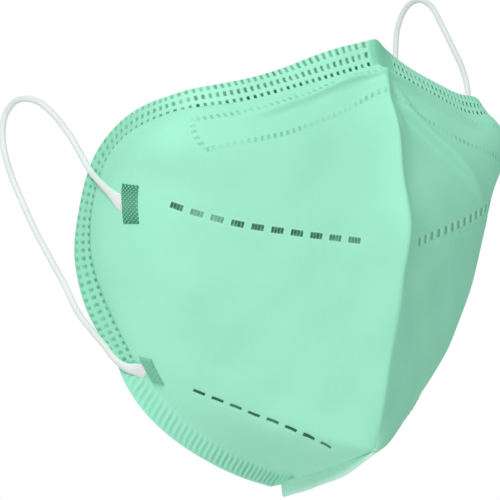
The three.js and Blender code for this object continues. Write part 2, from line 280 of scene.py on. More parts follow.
def clothRelief(u, v):
    # how far the soft outer face stands off that form
    fromBorder = awayFromBorder(u, v)
    plump, reach = (np.interp(v, *zip(*shell[name])) * mm for name in ("plump", "plumpReach"))
    relief = plump * (1 - np.exp(-fromBorder / reach))
    for row in (markRows["upperMarks"], markRows["lowerMarks"]):
        number, beside, *_ = placeOnRow(row, u, v)
        within = smooth(number, -0.9, -0.4) * (1 - smooth(number, row["count"] - 0.6, row["count"] - 0.1))
        pulse = 0.6 + 0.4 * np.cos(2 * math.pi * number)
        relief = relief - row["depth"] * within * pulse * np.exp(-(beside / row["width"]) ** 2)
    x, y, z = (bareHalf(u, v)[..., k] / mm for k in range(3))
    waves = (np.sin(y * 0.17 + z * 0.11 + 0.6) + np.sin(z * 0.23 - x * 0.13 + 2.1)
             + 0.6 * np.sin(x * 0.31 + z * 0.19 + 4.0))
    relief = relief + shell["waves"] * waves * smooth(fromBorder, 2 * mm, 14 * mm)
    return relief * smooth(v, 0, 0.03) * (1 - smooth(v, 0.985, 1))


sideWay = {"right": -1, "left": 1}


def clothPoint(u, v, lift=0.0, side="left", face="outer"):
    # a place on the soft cloth of one half
    u, v = np.broadcast_arrays(np.asarray(u, float), np.asarray(v, float))
    stand = clothRelief(u, v) if face == "outer" else -shell["wall"]
    lift = (clothForm(u, v, side) + stand + lift)[..., None]
    normal = halfNormal(u, v)
    inPlane = normal * (0, 1, 1)
    mitre = inPlane / np.maximum((inPlane ** 2).sum(axis=-1, keepdims=True), 0.35)   # for both halves to meet
    way = np.where(u[..., None] < 1e-6, mitre, normal)
    return softenFold(bareHalf(u, v) + way * lift, v) * (sideWay[side], 1, 1)


def joined(right, left):
    # two half grids whose first columns lie on the centre plane
    return np.concatenate([right[:, :0:-1], left], axis=1)


def meshObject(name, points, faces, finishes, attributes, sharp, faceFinish=None):
    mesh = bpy.data.meshes.new(name)
    mesh.from_pydata(points.tolist(), [], faces.tolist())
    for key, values in attributes.items():
        layer = mesh.attributes.new(key, "FLOAT_VECTOR", "POINT")
        layer.data.foreach_set("vector", np.asarray(values, np.float32).ravel())
    for finish in finishes:
        mesh.materials.append(finish)
    if faceFinish is not None:
        mesh.polygons.foreach_set("material_index", faceFinish)
    mesh.shade_smooth()
    mesh.set_sharp_from_angle(angle=math.radians(sharp))
    mesh.update()
    made = bpy.data.objects.new(name, mesh)
    bpy.context.scene.collection.objects.link(made)
    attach(made, "root")
    return made


def gridFaces(rows, columns, start=0, turned=False):
    index = np.arange(rows * columns).reshape(rows, columns) + start
    quads = np.stack([index[:-1, :-1], index[:-1, 1:], index[1:, 1:], index[1:, :-1]], axis=-1)
    quads = quads.reshape(-1, 4)
    return quads[:, ::-1] if turned else quads


def bodyObject(name, top, bottom, finishes, attributes, sharp):
    # a closed body between two grids of the same size
    rows, columns = top.shape[:2]
    count = rows * columns
    index = np.arange(count).reshape(rows, columns)
    ring = np.concatenate([index[0, :-1], index[:-1, -1], index[-1, :0:-1], index[:0:-1, 0]])
    following = np.roll(ring, -1)
    walls = np.stack([following, ring, ring + count, following + count], axis=-1)
    faces = np.concatenate([gridFaces(rows, columns), gridFaces(rows, columns, count, True), walls])
    row, column = rows // 2, columns // 2
    a, b, c = top[row, column], top[row, column + 1], top[row + 1, column]
    if np.dot(np.cross(b - a, c - a), a - bottom[row, column]) < 0:
        faces = faces[:, ::-1]   # so that they face outward
    layers = np.zeros(len(faces), np.int32)
    layers[(rows - 1) * (columns - 1):2 * (rows - 1) * (columns - 1)] = len(finishes) - 1
    points = np.concatenate([top.reshape(-1, 3), bottom.reshape(-1, 3)])
    doubled = {key: np.concatenate([values.reshape(-1, 3)] * 2) for key, values in attributes.items()}
    return meshObject(name, points, faces, finishes, doubled, sharp, layers)


class Wire:
    # a shader socket that can stand in an expression
    def __init__(self, finish, socket):
        self.finish, self.socket = finish, socket

    def maths(self, operation, *values):
        return self.finish.add("ShaderNodeMath", {"operation": operation}, values)

    def __add__(self, other):
        return self.maths("ADD", self, other)

    __radd__ = __add__

    def __sub__(self, other):
        return self.maths("SUBTRACT", self, other)

    def __rsub__(self, other):
        return self.maths("SUBTRACT", other, self)

    def __mul__(self, other):
        return self.maths("MULTIPLY", self, other)

    __rmul__ = __mul__

    def __truediv__(self, other):
        return self.maths("DIVIDE", self, other)

    def __abs__(self):
        return self.maths("ABSOLUTE", self)

    def least(self, other):
        return self.maths("MINIMUM", self, other)

    def most(self, other):
        return self.maths("MAXIMUM", self, other)

    def fraction(self):
        return self.maths("FRACT", self)

    def cosine(self):
        return self.maths("COSINE", self)

    def rising(self, low, high):
        return self.finish.add("ShaderNodeMapRange", {"interpolation_type": "SMOOTHSTEP"},
                               {"Value": self, "From Min": low, "From Max": high})


class Nodes:
    # the nodes of a material or of the world
    def __init__(self, owner):
        owner.use_nodes = True
        self.tree = owner.node_tree
        self.tree.nodes.clear()

    def feed(self, target, value):
        if isinstance(value, Wire):
            self.tree.links.new(value.socket, target)
        else:
            target.default_value = value

    def add(self, kind, settings, sockets, output=0):
        node = self.tree.nodes.new(kind)
        for key, value in settings.items():
            setattr(node, key, value)
        for key, value in (sockets.items() if isinstance(sockets, dict) else enumerate(sockets)):
            self.feed(node.inputs[key], value)
        return Wire(self, node.outputs[output]) if len(node.outputs) else None


class Finish(Nodes):
    # a procedural material
    def __init__(self, name, **constant):
        self.material = bpy.data.materials.new(name)
        super().__init__(self.material)
        sockets = {key.replace("_", " ").title().replace("Ior", "IOR"): value
                   for key, value in constant.items()}
        self.skin = self.add("ShaderNodeBsdfPrincipled", {}, sockets)
        self.add("ShaderNodeOutputMaterial", {}, {"Surface": self.skin})
        self.spot = self.add("ShaderNodeTexCoord", {}, {}, "Object")

    def set(self, name, value):
        self.feed(self.skin.socket.node.inputs[name], value)

    def attribute(self, name):
        # the three numbers of a mesh attribute
        vector = self.add("ShaderNodeAttribute", {"attribute_name": name}, {}, "Vector")
        return [self.add("ShaderNodeSeparateXYZ", {}, {0: vector}, axis) for axis in "XYZ"]

    def noise(self, scale, detail, roughness=0.55, stretch=None):
        at = self.spot
        if stretch:
            at = self.add("ShaderNodeVectorMath", {"operation": "MULTIPLY"}, {0: at, 1: stretch})
        return self.add("ShaderNodeTexNoise", {}, {"Vector": at, "Scale": scale, "Detail": detail,
                                                   "Roughness": roughness}, "Fac")

    def blend(self, share, first, second):
        # one colour to another
        return self.add("ShaderNodeMix", {"data_type": "RGBA"}, {0: share, 6: first, 7: second}, 2)

    def bump(self, height, distance, strength):
        self.set("Normal", self.add("ShaderNodeBump", {}, {"Height": height, "Distance": distance,
                                                           "Strength": strength}))


def colour(red, green, blue):
    # from the 0 to 255 of a screen
    return (*(c / 255 / 12.92 if c < 10.3 else ((c / 255 + 0.055) / 1.055) ** 2.4
              for c in (red, green, blue)), 1)


clothColours = {"light": colour(177, 244, 216), "deep": colour(165, 234, 205), "pressed": colour(26, 92, 66),
                "paintedHighlight": colour(204, 255, 234),   # painted highlight for the raised edge round a pressed mark
                "lining": colour(236, 243, 239), "liningDeep": colour(224, 234, 229)}
bondPitch = 1.25   # millimetres between the bond points of the cloth


def nonwoven(finish, light, deep, bondLay):
    # spunbond: cloudy, with fine fibres and a lattice of bond points; gives colour and height
    cloud = finish.noise(42, 2).rising(0.3, 0.7)
    fibre = finish.noise(2600, 2, 0.7)
    strand = finish.noise(700, 2, 0.6, stretch=(1.0, 1.0, 0.25))
    x, y = bondLay
    turn = 2 * math.pi / bondPitch
    bond = ((x * turn).cosine() * (y * turn).cosine()).rising(0.35, 0.85)
    tone = (cloud * 0.3 + strand * 0.3 + fibre * 0.35 + 0.05 - bond * 0.12).least(1.0).most(0.0)
    base = finish.blend(tone, deep, light)
    height = fibre * 0.5 + strand * 0.5 - bond * 0.5
    return base, height


def markPlace(finish, name):
    # whether a point is on the row, how far between two marks, how far beside it and how strongly pressed
    number, beside, strength = finish.attribute(name)
    end = markRows[name]["count"] - 0.5
    within = number.rising(-0.55, -0.45) * (1 - number.rising(end - 0.05, end + 0.05))
    return within, (number + 0.5).fraction(), abs(beside), strength


def shellFinish(pitches):
    finish = Finish("mint spunbond", roughness=0.82, specular_ior_level=0.25)
    x, y, _ = finish.attribute("lay")
    base, height = nonwoven(finish, clothColours["light"], clothColours["deep"], (x, y))

    # the right half's short bars, each of small cross bars
    within, place, beside, strength = markPlace(finish, "upperMarks")
    offset = (place - 0.5) * (pitches["upperMarks"] / mm)
    bar = abs((offset / 1.05).fraction() - 0.5)
    uneven = finish.noise(900, 1).rising(0.25, 0.6) * 0.2 + 0.8
    upper = (within * (1 - abs(offset).rising(1.8, 2.15)) * (1 - bar.rising(0.22, 0.5) * 0.35)
             * (1 - beside.rising(0.65, 1.2)) * strength * uneven)
    # a painted highlight: a pale ring round each bar, where the cloth puffs up between the marks
    paintedHighlight = (within * (1 - abs(offset).rising(2.0, 2.6)) * (1 - beside.rising(1.0, 1.7)) * (1 - upper)
            * strength)

    # the left half's upright ticks, each a pressed bar with a painted highlight along one side
    within, place, beside, strength = markPlace(finish, "farMarks")
    tick = within * strength * (1 - beside.rising(1.1, 1.6))
    far = tick * (1 - abs(place - 0.64).rising(0.08, 0.28))
    paintedHighlight = paintedHighlight + tick * (1 - abs(place - 0.24).rising(0.08, 0.26)) * 2.2

    # the dashes low on both halves
    within, place, beside, strength = markPlace(finish, "lowerMarks")
    offset = (place - 0.5) * (pitches["lowerMarks"] / mm)
    lower = within * (1 - abs(offset).rising(1.8, 2.1)) * (1 - beside.rising(0.34, 0.62)) * strength

    pressed = upper.most(lower).most(far)
    # the painted highlight is blended into the cloth colour
    base = finish.blend((paintedHighlight * 0.55).least(0.8), base, clothColours["paintedHighlight"])
    finish.set("Base Color", finish.blend(pressed * 0.97, base, clothColours["pressed"]))
    finish.set("Roughness", 0.82 - pressed * 0.3)
    finish.bump(height * 0.12 - pressed * 1.4 + paintedHighlight * 0.4, 0.25 * mm, 0.7)
    return finish.material


def liningFinish():
    finish = Finish("white lining", roughness=0.9, specular_ior_level=0.2)
    x, y, _ = finish.attribute("lay")
    base, height = nonwoven(finish, clothColours["lining"], clothColours["liningDeep"], (x, y))
    finish.set("Base Color", base)
    finish.bump(height, 0.08 * mm, 0.6)
    return finish.material


def clearOfFold(grid, way):
    # columns that would pass the centre plane are spread between the fold and the first clear one
    for row in grid:
        across = row[:, 0] * way
        clear = np.nonzero(across <= 0.005 * across.max())[0].max(initial=0) + 1
        if clear < len(row):
            share = np.arange(clear)[:, None] / clear
            row[:clear] = row[0] * (1 - share) + row[clear] * share


def mergeEnds(made):
    # the rows that end in one point at chin and nose become one vertex there
    shape = bmesh.new()
    shape.from_mesh(made.data)
    bmesh.ops.remove_doubles(shape, verts=shape.verts, dist=0.001 * mm)
    shape.to_mesh(made.data)
    shape.free()


def makeShell():
    v = np.linspace(0, 1, shell["rows"] + 1)[:, None]
    u = np.linspace(0, 1, shell["columns"] + 1)[None, :] ** 1.15
    u, v = np.broadcast_arrays(u, v)
    pole = (smooth(v, 0, 0.02) * (1 - smooth(v, 0.98, 1)))[..., None]
    outer, innerFace = {}, {}
    for side in ("right", "left"):
        outer[side] = clothPoint(u, v, side=side)
        innerFace[side] = clothPoint(u, v, side=side, face="inner")
        innerFace[side] = outer[side] + (innerFace[side] - outer[side]) * pole
        clearOfFold(innerFace[side], sideWay[side])
        for grid in (outer[side], innerFace[side]):
            grid[:, 0, 0] = 0
            grid[[0, -1]] = outer[side][[0, -1], :1]
    rise = lengthsAlong(outer["left"][:, :1].repeat(u.shape[1], 1), 0)
    lay = np.stack([lengthsAlong(outer["left"], 1), rise, 0 * u], axis=-1) / mm
    attributes, pitches = {"lay": joined(lay, lay)}, {}
    for name, row in markRows.items():
        number, beside, strength, pitches[name] = placeOnRow(row, u, v)
        shown = [strength * (row["side"] in (side, "both")) for side in ("right", "left")]
        attributes[name] = joined(*(np.stack([number, beside / mm, half], axis=-1) for half in shown))
    made = bodyObject("shellCloth", joined(**outer), joined(**innerFace),
                      [shellFinish(pitches), liningFinish()], attributes, 80)
    mergeEnds(made)
    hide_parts("shell")
    return made


# Ear loops: their middle lines from the upper weld to the lower weld
loops = {
    "right": [(-77.1, 31.9, -49.6), (-76.6, 35.3, -47.1), (-75.9, 42, -43.4), (-74.1, 48, -40.7),
              (-73.9, 52, -37), (-75.5, 57, -29.5), (-78, 62.5, -22.5), (-80, 69, -18),
              (-81.5, 77.5, -17.5), (-82, 83.5, -22), (-82, 85, -29), (-81.5, 82, -39),
              (-80.5, 76.5, -49), (-79.5, 70, -59), (-78.5, 64, -67), (-77, 58.5, -75),
              (-75.5, 53, -84), (-73, 49.5, -89.3), (-70, 46.8, -94.1), (-67.7, 44.2, -98.4),
              (-66.3, 41, -100.7), (-64.3, 37.3, -102.9)],
    "left": [(77.1, 31.9, -49.6), (77.5, 34.2, -45), (77.2, 36, -38), (76.8, 36.8, -30),
             (76.9, 35.6, -20), (77.5, 35.5, -10), (78.5, 39, -2), (79.5, 44.5, 5.5),
             (80.5, 51, 14), (81.5, 58, 22), (82, 64.5, 24.5), (82, 70.5, 22.5),
             (82, 75, 16), (81.7, 76, 7), (81, 75, -8), (79.5, 70, -35),
             (77, 61.5, -65), (73.5, 53, -85), (70, 46.8, -94.1), (67.7, 44.2, -98.4),
             (66.3, 41, -100.7), (64.3, 37.3, -102.9)],
    "radius": 1.0 * mm,
    "flatHalfWidth": 2.5 * mm,
    "flatHalfThickness": 0.35 * mm,
    "flatReach": 13 * mm,     # how far from an end the elastic starts to flatten
    "flatPower": 2.4,
    # under the upper and the lower weld: where the ends are tucked in, and where each weld faces
    "tucks": ([(0.803, 0.627), (0.824, 0.630)], [(0.983, 0.395), (0.996, 0.403)]),
    "tuckLifts": (-0.2 * mm, 0.15 * mm),
    "weldPlaces": ([0.83, 0.96], [0.63, 0.40]),
    "weldHold": (8 * mm, 30 * mm),   # from an end, where its weld stops to turn the flat side
    "steps": 260,
    "sides": 20,
}


def centripetal(points, count):
    # a smooth line that hurries less where its points are close
    points = np.asarray(points, float)
    line = np.vstack([2 * points[0] - points[1], points, 2 * points[-1] - points[-2]])
    pieces = []
    for a, b, c, d in zip(line, line[1:], line[2:], line[3:]):
        ta, tb, tc = (np.linalg.norm(q - p) ** 0.5 for p, q in ((a, b), (b, c), (c, d)))
        leave = ((b - a) / ta - (c - a) / (ta + tb) + (c - b) / tb) * tb
        reach = ((c - b) / tb - (d - b) / (tb + tc) + (d - c) / tc) * tb
        w = np.linspace(0, 1, 24, endpoint=False)[:, None]
        pieces.append(b + leave * w + (3 * (c - b) - 2 * leave - reach) * w ** 2
                      + (2 * (b - c) + leave + reach) * w ** 3)
    dense = np.vstack([*pieces, points[-1:]])
    run = lengthsAlong(dense)
    places = np.linspace(0, run[-1], count)
    return np.stack([np.interp(places, run, dense[:, k]) for k in range(3)], axis=-1)


def elasticFinish():
    finish = Finish("white elastic", roughness=0.8, specular_ior_level=0.25, sheen_weight=0.3,
                    subsurface_weight=0.05, subsurface_scale=0.002)
    along, around, _ = finish.attribute("lay")
    slant = (along * 5.2 + around * 12).cosine() * (along * 5.2 - around * 12).cosine()
    fuzz = finish.noise(1800, 3)
    shade = finish.noise(70, 2).rising(0.3, 0.7)
    finish.set("Base Color", finish.blend((shade * 0.6 + slant * 0.04 + fuzz * 0.4).least(1.0).most(0.0),
                                          colour(236, 232, 234), colour(248, 244, 246)))
    finish.bump(slant * 0.2 + fuzz * 0.7, 0.10 * mm, 0.5)
    return finish.material


def makeLoop(side, finish):
    sign = sideWay[side]
    start, end = (clothPoint(*np.array(places).T, np.array(loops["tuckLifts"]), side)
                  for places in loops["tucks"])
    path = centripetal(np.vstack([start, np.array(loops[side][1:-1]) * mm, end[::-1]]), loops["steps"])
    run = lengthsAlong(path)
    tangent = unit(np.gradient(path, axis=0))
    weldNormals = halfNormal(*np.array(loops["weldPlaces"])) * (sign, 1, 1)
    fromStart, fromEnd = run, run[-1] - run
    startShare = (1 - smooth(fromStart, *loops["weldHold"]))[:, None]
    endShare = (1 - smooth(fromEnd, *loops["weldHold"]))[:, None]
    sideways = np.array([sign, 0, 0]) * (1.02 - startShare - endShare)   # 1.02, so that it is never nothing
    thick = weldNormals[0] * startShare + weldNormals[1] * endShare + sideways
    thick = unit(thick - tangent * (thick * tangent).sum(axis=-1, keepdims=True))
    wide = np.cross(tangent, thick)
    nearEnd = 1 - (np.minimum(fromStart, fromEnd) - 2 * mm) / loops["flatReach"]
    flat = np.clip(nearEnd, 0, 1) ** loops["flatPower"]
    a = loops["radius"] + (loops["flatHalfWidth"] - loops["radius"]) * flat
    b = loops["radius"] + (loops["flatHalfThickness"] - loops["radius"]) * flat
    angle = np.linspace(0, 2 * math.pi, loops["sides"], endpoint=False)
    rings = (path[:, None] + wide[:, None] * (a[:, None] * np.cos(angle))[..., None]
             + thick[:, None] * (b[:, None] * np.sin(angle))[..., None])
    steps, sides = rings.shape[:2]
    index = np.arange(steps * sides).reshape(steps, sides)
    nextSide = np.roll(index, -1, axis=1)
    faces = np.stack([index[:-1], index[1:], nextSide[1:], nextSide[:-1]], axis=-1).reshape(-1, 4)
    fan = [[0, k, k + 1, k + 2] for k in range(1, sides - 2, 2)]
    caps = np.array([index[0, corners] for corners in fan] + [index[-1, corners[::-1]] for corners in fan])
    lay = np.stack(np.broadcast_arrays(run[:, None] / mm, angle[None, :] * a[:, None] / mm, 0.0), axis=-1)
    made = meshObject("earLoop" + side.title(), rings.reshape(-1, 3), np.concatenate([faces, caps]), [finish],
                      {"lay": lay.reshape(-1, 3)}, 60)
    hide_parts("ear_loop_" + side)
    print("ear loop", side, round(float(run[-1]), 4), "m")
    return made


elastic = elasticFinish()
for side in ("right", "left"):
    makeLoop(side, elastic)

shellCloth = makeShell()
print("shell made")

# Pressed edge: a dotted band round the top and the ears
rim = {"width": 6.8 * mm, "thickness": 1.0 * mm, "step": 0.29 * mm, "across": 26,
       "pitch": 2.35 * mm, "rows": (0.7, 3.35, 6.0), "dotDepth": 0.42 * mm, "plump": 0.12 * mm,
       "bare": {"right": 2.4 * mm, "left": 9.0 * mm},   # from the nose, the length that has no dots
       "paintedShade": (60, 95), "paintedShadeShare": 0.4}          # where painted shade darkens its colour toward the ear

# How far the pressed edge turns outward at its outer line, in millimetres, from chin to nose
flare = {
    "right": [(0.00, 2.0), (0.05, 1.6), (0.12, 1.5), (0.20, 1.3), (0.25, 2.3), (0.30, 3.6), (0.35, 4.2),
              (0.40, 2.2), (0.43, 0.6), (0.46, 1.8), (0.50, 3.4), (0.55, 2.0), (0.60, 1.0), (0.63, 1.3),
              (0.66, 1.7), (0.69, 1.5), (0.72, 1.9), (0.76, 2.0), (0.80, 1.5), (0.85, 1.4), (0.88, 1.7),
              (0.91, 0.5), (0.94, 0.2), (0.96, 1.8), (0.98, 3.6), (1.00, 2.6)],
    "left": [(0.00, 1.4), (0.12, 1.0), (0.20, 1.8), (0.25, 1.4), (0.30, 1.6), (0.35, 2.2), (0.40, 2.0),
             (0.45, 2.4), (0.50, 2.4), (0.60, 0.8), (0.65, 0.1), (0.70, 1.4), (0.76, 1.6), (0.79, 0.8),
             (0.82, 1.2), (0.85, 1.8), (0.88, 1.2), (0.90, 0.5), (0.92, -0.3), (0.94, -1.0),
             (0.96, -0.8), (0.98, 0.8), (1.00, 2.6)],
}


def edgePlaces(start, end, count):
    # shares of the border that lie evenly along it
    run = np.linspace(*np.interp([start, end], borderShares, borderRun), count)
    return np.interp(run, borderRun, borderShares), run


# How much wider than its rows of dots or ribs it is, in millimetres
margin = [(0.00, 0.6), (0.03, 0.9), (0.20, 0.9), (0.34, 1.1), (0.40, 0.5), (0.44, 0.1), (0.48, 0.6),
          (0.56, 0.6), (0.60, 0.4), (0.65, 0.8), (0.70, 1.0), (0.77, 1.0), (0.83, 0.3), (0.88, 0.2),
          (0.91, 0.4), (0.93, 1.0), (0.955, 1.8), (0.98, 1.5), (1.00, 0.8)]
evenShares = np.linspace(0, 1, 201)


def evened(rows):
    # a table without its corners
    values = np.pad(np.interp(evenShares, *zip(*rows)), 4, "edge")
    return np.convolve(values, np.hanning(11)[1:-1] / 5, "valid")


flareTables = {side: evened(rows) for side, rows in flare.items()}
marginTable = evened(margin)


def edgePoint(share, across, height, side):
    # a place on the pressed edge of one half, from the shell's border outward
    reach = across / rim["width"]
    turned = np.interp(share, evenShares, flareTables[side]) * mm * reach ** 1.6
    wider = np.interp(share, evenShares, marginTable) * mm * reach ** 3
    height = height + turned + clothForm(1.0, share, side)
    across = across - 0.35 * turned ** 2 / rim["width"] + wider
    point = (tableAt(borderLine, share) + tableAt(borderOut, share) * np.asarray(across)[..., None]
             + tableAt(borderUp, share) * np.asarray(height)[..., None])
    point[..., 0] = np.maximum(point[..., 0], 0)
    return point


def pressedFinish(name, light, deep):
    finish = Finish(name, roughness=0.6, specular_ior_level=0.3)
    x, y, press = finish.attribute("lay")
    base, height = nonwoven(finish, light, deep, (x * 0.7, y * 0.7))
    return finish, base, height, x, y, press


def rimFinish():
    finish, base, height, along, across, press = pressedFinish(
        "dotted weld", colour(186, 250, 224), colour(168, 238, 210))
    pitch = rim["pitch"] / mm
    column = abs((along / pitch).fraction() - 0.5) * pitch
    dots = None
    for place, strength, tall in zip(rim["rows"], (1.0, 0.72, 0.62), (0.75, 0.95, 0.95)):
        dot = (1 - column.rising(0.28, 0.68)) * (1 - abs(across - place).rising(tall - 0.4, tall)) * strength
        dots = dot if dots is None else dots.most(dot)
    patchy = finish.noise(210, 2).rising(0.25, 0.75) * 0.6 + 0.55
    dots = (dots * press * patchy * (1 - along.rising(62, 90) * 0.4)).least(1.0)
    # painted shade: the bare band where it folds over the nose faces away from the light and is coloured
    # darker
    paintedFoldShade = (1 - press) * (1 - along.rising(8.0, 11.0))
    # painted shade toward the ear, where the band turns away from the light
    paintedShade = paintedFoldShade * 0.55 + along.rising(*rim["paintedShade"]) * rim["paintedShadeShare"]
    base = finish.blend(paintedShade, base, colour(120, 204, 170))
    finish.set("Base Color", finish.blend(dots, base, clothColours["pressed"]))
    finish.set("Roughness", 0.6 - dots * 0.15)
    finish.bump(height * 0.2 - dots, 0.2 * mm, 0.6)
    return finish.material


def makeRim():
    total = borderRun[-1]
    first = np.interp(shell["hemTop"], borderShares, borderRun)
    count = int((total - first) / rim["step"])
    share, run = edgePlaces(1.0, shell["hemTop"], count)
    fromNose = total - run
    across = np.linspace(0, rim["width"], rim["across"])[None, :]
    column = np.abs((fromNose[:, None] / rim["pitch"]) % 1 - 0.5) * rim["pitch"]
    dents = np.zeros((count, rim["across"]))
    for place in rim["rows"]:
        dents -= (rim["dotDepth"] * (1 - smooth(column, 0.2 * mm, 0.9 * mm))
                  * np.exp(-((across - place * mm) / (0.6 * mm)) ** 2))
    edge = smooth(across, rim["width"] - 0.8 * mm, rim["width"])
    narrower = 1 - 0.06 * (1 - smooth(share, 0.42, 0.45)[:, None])   # where the hem laps over it
    shares, places = np.broadcast_arrays(share[:, None], across * narrower)
    tops, bottoms, lays = {}, {}, {}
    for side in ("right", "left"):
        press = smooth(fromNose, rim["bare"][side] - 0.8 * mm, rim["bare"][side] + 0.8 * mm)[:, None]
        plump = rim["plump"] * np.sin(math.pi * np.clip(across / rim["width"], 0, 1))
        relief = dents * press + plump - 0.35 * mm * edge
        lay = np.stack(np.broadcast_arrays(fromNose[:, None] / mm, across / mm, press), axis=-1)
        lays[side] = lay.transpose(1, 0, 2)
        for halves, height in ((tops, relief), (bottoms, -rim["thickness"] + 0.3 * mm * edge + 0 * relief)):
            half = softenFold(edgePoint(shares, places, height, side), shares)
            halves[side] = half.transpose(1, 0, 2) * (sideWay[side], 1, 1)
    for halves in (tops, bottoms):
        middle = (halves["right"][:, :1] + halves["left"][:, :1]) / 2
        for side in halves:
            halves[side][:, :1] = middle
    made = bodyObject("rimWeld", joined(**tops), joined(**bottoms), [rimFinish()],
                      {"lay": joined(**lays)}, 70)
    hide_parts("rim_weld_right", "rim_weld_left")
    return made


rimWeld = makeRim()
print("rim made")

# Pressed edge: a ribbed band along the neck
hem = {"width": 6.4 * mm, "thickness": 1.0 * mm, "pitch": 2.3 * mm, "step": 0.26 * mm, "across": 20,
       "rib": 0.36 * mm, "bend": 0.5 * mm, "slant": 0.5, "overlap": 0.008}


def hemFinish():
    finish, base, height, along, across, press = pressedFinish(
        "ribbed weld", colour(178, 246, 220), colour(160, 232, 203))
    turn = 2 * math.pi / (hem["pitch"] / mm)
    rib = (along * turn).cosine() * 0.5 + 0.5
    shade = (1 - rib) * press
    finish.set("Base Color", finish.blend(shade * 0.6, base, colour(92, 172, 138)))
    finish.bump(height * 0.2 + rib * 0.6, 0.2 * mm, 0.5)
    return finish.material


def makeHem(side, finish):
    last = np.interp(shell["hemTop"], borderShares, borderRun)
    count = int(last / hem["step"])
    share, run = edgePlaces(0.0, shell["hemTop"] + hem["overlap"], count)
    across = np.linspace(0, hem["width"], hem["across"])[None, :]
    sway = hem["bend"] * np.sin(2 * math.pi * across / hem["width"]) * 0.5
    along = run[:, None] + sway + hem["slant"] * across
    inside = smooth(across, 0, 2.6 * mm) * (1 - smooth(across, hem["width"] - 1.2 * mm, hem["width"]))
    uneven = 0.8 + 0.2 * np.sin(run / mm * 0.9 + 1.0) * np.sin(run / mm * 0.37)
    strength = ((0.45 + 0.55 * (1 - smooth(run, 18 * mm, 50 * mm))) * uneven)[:, None]
    strength = strength * smooth(run, 1 * mm, 6 * mm)[:, None]
    relief = hem["rib"] * np.cos(2 * math.pi * along / hem["pitch"]) * inside * strength
    edge = smooth(across, hem["width"] - 0.8 * mm, hem["width"])
    shares, places = np.broadcast_arrays(share[:, None], across)
    under = 0.15 * mm * smooth(run, last - 0.5 * mm, last)[:, None]   # thinner where it laps over the rim
    top = edgePoint(shares, places, relief - 0.3 * mm * edge - under, side)
    bottom = edgePoint(shares, places, -hem["thickness"] + 0.3 * mm * edge + 0 * relief + under, side)
    lay = np.stack(np.broadcast_arrays(along / mm, across / mm, inside * strength), axis=-1)
    way = (sideWay[side], 1, 1)
    made = bodyObject("neckHem" + side.title(), top * way, bottom * way, [finish], {"lay": lay}, 70)
    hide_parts("neck_hem_" + side)
    return made


ribbed = hemFinish()
hems = [makeHem(side, ribbed) for side in ("right", "left")]
print("hems made")

# Chin seam: the two edges of the cloth welded face to face
seam = {"profile": [1.0, 1.0, 1.0, 0.97, 0.85, 0.55, 0.15], "drop": 5.6 * mm, "steps": 120, "across": 14,
        "thickness": 1.3 * mm, "rootThickness": 1.5 * mm, "lean": 0.6 * mm}


def seamFinish():
    finish, base, height, along, across, press = pressedFinish(
        "chin weld", colour(220, 254, 242), colour(208, 252, 234))
    # painted shadow: a dark line along the fin's root, in the crease where it meets the cloth
    line = 1 - abs(across - 0.2).rising(0.1, 0.8)
    finish.set("Base Color", finish.blend(line * 0.45, base, colour(96, 172, 140)))
    finish.bump(height * 0.3, 0.2 * mm, 0.5)
    return finish.material


def makeSeam():
    split = shell["foldBottomRow"] / (len(shell["front"]) - 1)
    v = np.linspace(0, split, 240)
    crease = bareHalf(0.0, v)
    run = lengthsAlong(crease)
    total = run[-1] + hem["width"]
    place = np.linspace(-hem["width"], run[-1], seam["steps"])
    line = np.stack([np.interp(place, run, crease[:, k]) for k in range(3)], axis=-1)
    back = place < 0
    line[back] = crease[0] + borderOut[0] * -place[back][:, None]
    slope = unit(np.gradient(line, axis=0))
    slope = unit(np.stack([np.convolve(np.pad(slope[:, k], 6, "edge"), np.ones(13) / 13, "valid")
                           for k in range(3)], axis=-1))
    down = np.stack([0 * place, -slope[:, 2], slope[:, 1]], axis=-1)
    shares = np.linspace(0, 1, len(seam["profile"]))
    profile = alongPoints(np.array(seam["profile"])[:, None], (place + hem["width"]) / total)[:, 0]
    drop = profile * seam["drop"]
    ripple = 0.07 * mm * np.sin(place / mm * 0.35) + 0.03 * mm * np.sin(place / mm * 1.1)
    depth = np.linspace(0, 1, seam["across"])[None, :]
    reach = -0.8 * mm + depth * (np.maximum(drop + ripple, 0.9 * mm)[:, None] + 0.8 * mm)
    middle = line[:, None] + down[:, None] * reach[..., None]
    root = (seam["rootThickness"] - seam["thickness"]) * np.exp(-np.maximum(reach, 0) / (0.9 * mm))
    half = (seam["thickness"] + root) / 2
    half = half * np.sqrt(np.clip((1.0 - depth) / 0.12, 0.12, 1))
    sway = (0.2 * mm * np.sin(place / mm * 0.3)[:, None] - seam["lean"]) * depth
    rightFace, leftFace = middle.copy(), middle.copy()
    rightFace[..., 0] = sway - half
    leftFace[..., 0] = sway + half
    lay = np.stack(np.broadcast_arrays(place[:, None] / mm, reach / mm, 0.0), axis=-1)
    made = bodyObject("chinSeam", rightFace, leftFace, [seamFinish()], {"lay": lay}, 60)
    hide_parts("chin_seam")
    return made


chinSeam = makeSeam()
print("chin seam made")

# Nose wire casing: its two edges from the fold to its end on the cheek, as shares across and up
casing = {"upper": [(0.00, 0.990), (0.81, 0.978), (0.90, 0.935), (0.92, 0.895), (0.92, 0.845), (0.91, 0.803)],
          "lower": [(0.00, 0.940), (0.20, 0.936), (0.44, 0.898), (0.52, 0.855), (0.58, 0.805), (0.61, 0.777)],
          "rows": 150, "across": 34, "lift": 0.18 * mm, "tickPitch": 2.3, "tickLength": 2.3,
          "wire": 1.0 * mm, "wirePlace": 0.17, "wireWidth": 0.11}


